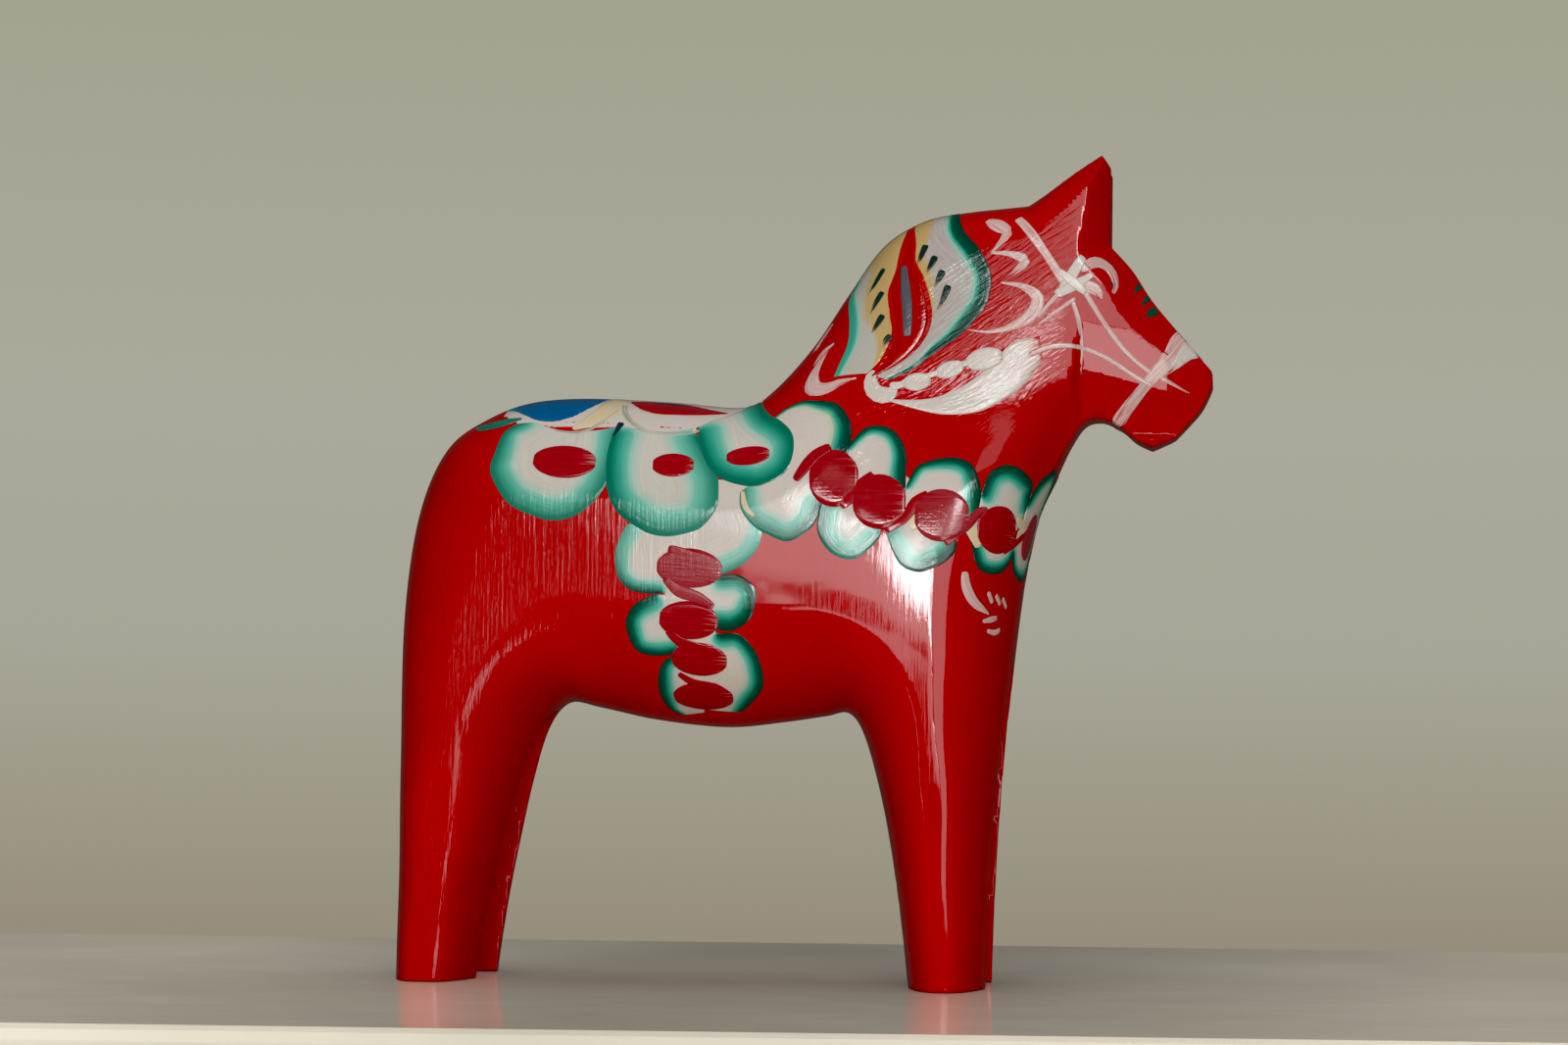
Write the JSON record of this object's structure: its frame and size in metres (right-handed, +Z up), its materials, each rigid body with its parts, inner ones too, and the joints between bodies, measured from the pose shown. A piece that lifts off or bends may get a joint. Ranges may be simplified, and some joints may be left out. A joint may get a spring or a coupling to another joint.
{
  "type": "dala horse",
  "caption": "Carved and painted wooden horse, standing on four short legs, with raised brush-painted saddle, collar, girth, mane and bridle ornaments on both flanks.",
  "frame": {"origin": "on the ground under the middle of the horse's bounding box", "axes": "+X towards the nose, +Y towards the horse's left flank, +Z up"},
  "size_m": [0.1281, 0.0414, 0.1302],
  "materials": {
    "red_lacquer": "gloss red lacquer and clear varnish over carved pine",
    "white_paint": "brushed white oil paint under clear varnish",
    "green_paint": "two-tone green brush stroke, dark edge fading to teal",
    "dark_red_paint": "streaky dark red brush stroke",
    "cream_paint": "cream-yellow brush stroke",
    "blue_paint": "blue brush stroke"
  },
  "bodies": {
    "root": {"carved_body": "red_lacquer", "saddle_petal_rear_right": "white_paint", "saddle_petal_middle_right": "white_paint", "saddle_petal_front_right": "white_paint", "collar_upper_scallops_right": "green_paint", "collar_red_rope_right": "dark_red_paint", "collar_lower_scallops_right": "green_paint", "girth_rear_scallops_right": "green_paint", "girth_front_scallops_right": "green_paint", "girth_red_rope_right": "dark_red_paint", "mane_green_band_right": "green_paint", "mane_white_band_right": "white_paint", "mane_red_flame_right": "dark_red_paint", "mane_cream_band_right": "cream_paint", "mane_teal_band_right": "green_paint", "mane_hook_right": "white_paint", "neck_white_beads_right": "white_paint", "neck_white_feather_right": "white_paint", "forelock_curls_right": "white_paint", "temple_curl_right": "white_paint", "bridle_brow_line_right": "white_paint", "bridle_nose_line_right": "white_paint", "bridle_cheek_line_right": "white_paint", "noseband_right": "white_paint", "forehead_dashes_right": "green_paint", "chest_sprig_right": "white_paint", "saddle_blue_leaf_right": "blue_paint", "saddle_red_leaf_right": "dark_red_paint", "saddle_green_leaf_right": "green_paint", "saddle_petal_rear_left": "white_paint", "saddle_petal_middle_left": "white_paint", "saddle_petal_front_left": "white_paint", "collar_upper_scallops_left": "green_paint", "collar_red_rope_left": "dark_red_paint", "collar_lower_scallops_left": "green_paint", "girth_rear_scallops_left": "green_paint", "girth_front_scallops_left": "green_paint", "girth_red_rope_left": "dark_red_paint", "mane_green_band_left": "green_paint", "mane_white_band_left": "white_paint", "mane_red_flame_left": "dark_red_paint", "mane_cream_band_left": "cream_paint", "mane_teal_band_left": "green_paint", "mane_hook_left": "white_paint", "neck_white_beads_left": "white_paint", "neck_white_feather_left": "white_paint", "forelock_curls_left": "white_paint", "temple_curl_left": "white_paint", "bridle_brow_line_left": "white_paint", "bridle_nose_line_left": "white_paint", "bridle_cheek_line_left": "white_paint", "noseband_left": "white_paint", "forehead_dashes_left": "green_paint", "chest_sprig_left": "white_paint", "saddle_blue_leaf_left": "blue_paint", "saddle_red_leaf_left": "dark_red_paint", "saddle_green_leaf_left": "green_paint", "saddle_cream_ground": "cream_paint"}
  },
  "joints": []
}
